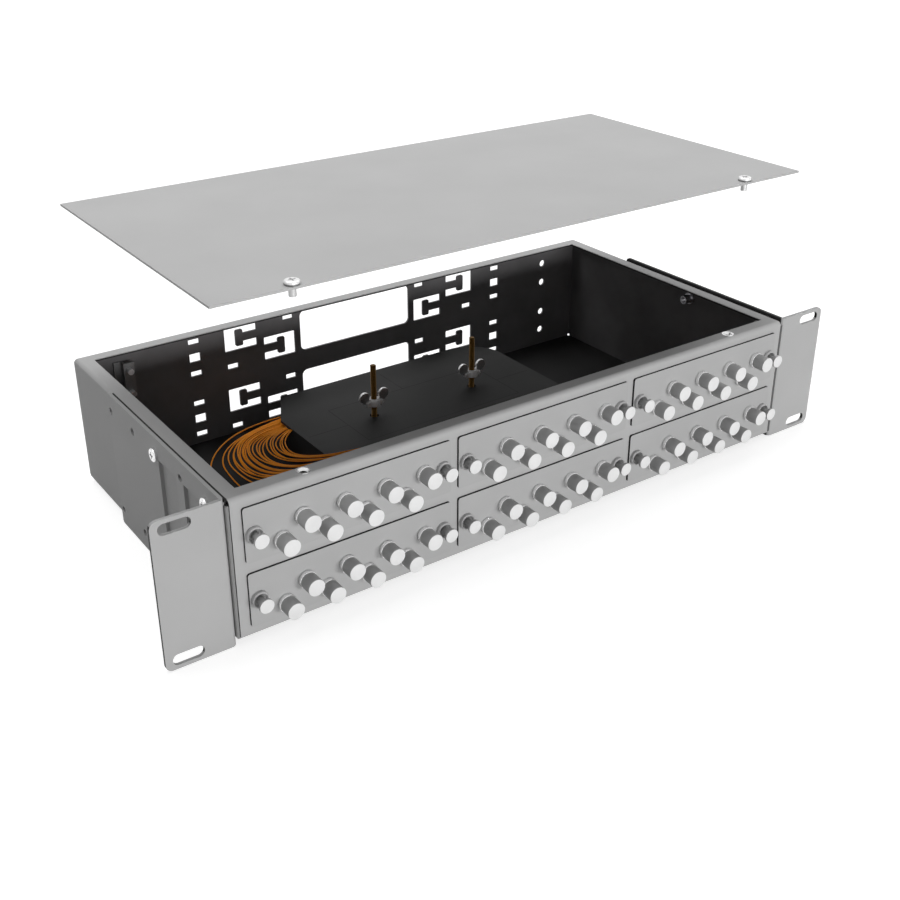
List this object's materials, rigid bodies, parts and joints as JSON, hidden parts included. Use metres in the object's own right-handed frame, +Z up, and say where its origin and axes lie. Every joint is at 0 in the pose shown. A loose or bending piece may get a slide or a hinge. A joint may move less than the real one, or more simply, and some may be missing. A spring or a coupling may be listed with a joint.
{
  "type": "rack fibre patch panel",
  "caption": "Two-unit rack panel with an open folded steel case, capped round adapters on push-pull plates, splice trays, orange pigtails and a lifted cover.",
  "frame": {"origin": "centre of the four rack slots, on the front plane of the rack ears", "axes": "+X to the right along the front, +Y back into the rack, +Z up; the front faces -Y"},
  "size_m": [0.4826, 0.227, 0.1893],
  "materials": {
    "painted_grey": "satin",
    "bright_zinc": "satin",
    "zinc_grey": "satin",
    "yellow_zinc": "satin",
    "white_plastic": "matte",
    "grey_plastic": "matte",
    "dark_plastic": "matte",
    "adapter_metal": "satin",
    "orange_jacket": "satin",
    "black_boot": "matte"
  },
  "bodies": {
    "chassis": {"case_floor": "painted_grey", "case_front": "painted_grey", "case_rear": "painted_grey", "case_left": "painted_grey", "case_right": "painted_grey", "case_flanges": "painted_grey", "cover_nuts": "bright_zinc", "splice_tray_lower": "dark_plastic", "splice_tray_upper": "dark_plastic", "splice_tray_lid": "dark_plastic", "splice_holder_lower": "white_plastic", "splice_holder_upper": "white_plastic", "tray_studs": "yellow_zinc", "cable_bracket": "zinc_grey", "bracket_screws": "bright_zinc", "pigtail_fibres": "orange_jacket", "connectors_upper": "black_boot", "connectors_lower": "black_boot", "grommets": "grey_plastic", "rack_ear_left": "painted_grey", "ear_screws_left": "bright_zinc", "wall_nuts_left": "zinc_grey", "rack_ear_right": "painted_grey", "ear_screws_right": "bright_zinc", "wall_nuts_right": "zinc_grey", "adapter_plate_1": "painted_grey", "adapters_1": "adapter_metal", "dust_caps_1": "white_plastic", "adapter_plate_2": "painted_grey", "adapters_2": "adapter_metal", "dust_caps_2": "white_plastic", "adapter_plate_3": "painted_grey", "adapters_3": "adapter_metal", "dust_caps_3": "white_plastic", "adapter_plate_4": "painted_grey", "adapters_4": "adapter_metal", "dust_caps_4": "white_plastic", "adapter_plate_5": "painted_grey", "adapters_5": "adapter_metal", "dust_caps_5": "white_plastic", "adapter_plate_6": "painted_grey", "adapters_6": "adapter_metal", "dust_caps_6": "white_plastic"},
    "plunger_1_left": {"plunger_1_left": "white_plastic"},
    "plunger_1_right": {"plunger_1_right": "white_plastic"},
    "plunger_2_left": {"plunger_2_left": "white_plastic"},
    "plunger_2_right": {"plunger_2_right": "white_plastic"},
    "plunger_3_left": {"plunger_3_left": "white_plastic"},
    "plunger_3_right": {"plunger_3_right": "white_plastic"},
    "plunger_4_left": {"plunger_4_left": "white_plastic"},
    "plunger_4_right": {"plunger_4_right": "white_plastic"},
    "plunger_5_left": {"plunger_5_left": "white_plastic"},
    "plunger_5_right": {"plunger_5_right": "white_plastic"},
    "plunger_6_left": {"plunger_6_left": "white_plastic"},
    "plunger_6_right": {"plunger_6_right": "white_plastic"},
    "cover": {"cover": "painted_grey", "cover_screws": "bright_zinc"},
    "wing_nut_left": {"wing_nut_left": "zinc_grey"},
    "wing_nut_right": {"wing_nut_right": "zinc_grey"}
  },
  "joints": [
    {"name": "cover_lift", "type": "slide", "parent": "chassis", "child": "cover", "axis": [0, 0, 1], "range_m": [-0.0994, 0]},
    {"name": "plunger_1_left_push", "type": "slide", "parent": "chassis", "child": "plunger_1_left", "axis": [0, 1, 0], "range_m": [0, 0.0042]},
    {"name": "plunger_1_right_push", "type": "slide", "parent": "chassis", "child": "plunger_1_right", "axis": [0, 1, 0], "range_m": [0, 0.0042]},
    {"name": "plunger_2_left_push", "type": "slide", "parent": "chassis", "child": "plunger_2_left", "axis": [0, 1, 0], "range_m": [0, 0.0042]},
    {"name": "plunger_2_right_push", "type": "slide", "parent": "chassis", "child": "plunger_2_right", "axis": [0, 1, 0], "range_m": [0, 0.0042]},
    {"name": "plunger_3_left_push", "type": "slide", "parent": "chassis", "child": "plunger_3_left", "axis": [0, 1, 0], "range_m": [0, 0.0042]},
    {"name": "plunger_3_right_push", "type": "slide", "parent": "chassis", "child": "plunger_3_right", "axis": [0, 1, 0], "range_m": [0, 0.0042]},
    {"name": "plunger_4_left_push", "type": "slide", "parent": "chassis", "child": "plunger_4_left", "axis": [0, 1, 0], "range_m": [0, 0.0042]},
    {"name": "plunger_4_right_push", "type": "slide", "parent": "chassis", "child": "plunger_4_right", "axis": [0, 1, 0], "range_m": [0, 0.0042]},
    {"name": "plunger_5_left_push", "type": "slide", "parent": "chassis", "child": "plunger_5_left", "axis": [0, 1, 0], "range_m": [0, 0.0042]},
    {"name": "plunger_5_right_push", "type": "slide", "parent": "chassis", "child": "plunger_5_right", "axis": [0, 1, 0], "range_m": [0, 0.0042]},
    {"name": "plunger_6_left_push", "type": "slide", "parent": "chassis", "child": "plunger_6_left", "axis": [0, 1, 0], "range_m": [0, 0.0042]},
    {"name": "plunger_6_right_push", "type": "slide", "parent": "chassis", "child": "plunger_6_right", "axis": [0, 1, 0], "range_m": [0, 0.0042]},
    {"name": "wing_nut_left_turn", "type": "hinge", "parent": "chassis", "child": "wing_nut_left", "pos_m": [-0.0315, 0.1373, -0.0057], "axis": [0, 0, 1], "continuous": true},
    {"name": "wing_nut_right_turn", "type": "hinge", "parent": "chassis", "child": "wing_nut_right", "pos_m": [0.0485, 0.1373, -0.0057], "axis": [0, 0, 1], "continuous": true}
  ]
}
